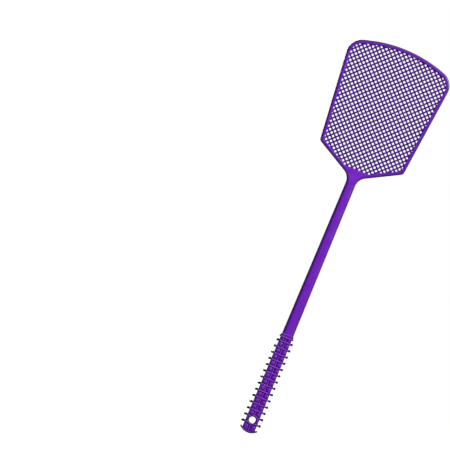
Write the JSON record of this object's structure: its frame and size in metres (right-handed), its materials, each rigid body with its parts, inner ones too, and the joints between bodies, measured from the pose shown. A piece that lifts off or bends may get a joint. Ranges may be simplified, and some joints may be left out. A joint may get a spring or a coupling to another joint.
{
  "type": "fly swatter",
  "caption": "Moulded plastic fly swatter: a ribbed hand grip with a hang hole, a long bevelled shaft, and a broad head with a diagonal mesh in a rounded rim.",
  "frame": {"origin": "centre of the hang hole, in the middle of the thickness", "axes": "+Z along the shaft towards the head, +X across the head, -Y out of the front face; +Y along the hang hole's axis"},
  "size_m": [0.118, 0.0104, 0.4455],
  "materials": {
    "handle_plastic": "satin violet injection-moulded polypropylene",
    "grip_plastic": "satin violet injection-moulded polypropylene",
    "rib_plastic": "satin violet injection-moulded polypropylene with rounded edges",
    "rim_plastic": "satin violet injection-moulded polypropylene",
    "mesh_plastic": "satin violet injection-moulded polypropylene strands"
  },
  "bodies": {
    "root": {"head_rim": "rim_plastic", "mesh_front_strands": "mesh_plastic", "mesh_back_strands": "mesh_plastic", "neck_plate": "handle_plastic", "shaft": "handle_plastic", "collar": "handle_plastic", "grip_core": "grip_plastic", "grip_front_pads": "grip_plastic", "grip_back_pads": "grip_plastic", "grip_front_spine": "grip_plastic", "grip_back_spine": "grip_plastic", "grip_rib_01": "rib_plastic", "grip_rib_02": "rib_plastic", "grip_rib_03": "rib_plastic", "grip_rib_04": "rib_plastic", "grip_rib_05": "rib_plastic", "grip_rib_06": "rib_plastic", "grip_rib_07": "rib_plastic", "grip_rib_08": "rib_plastic", "grip_rib_09": "rib_plastic", "grip_rib_10": "rib_plastic", "grip_rib_11": "rib_plastic", "grip_rib_12": "rib_plastic", "grip_rib_13": "rib_plastic", "grip_rib_14": "rib_plastic", "hang_eye": "grip_plastic", "end_flange": "grip_plastic"}
  },
  "joints": []
}
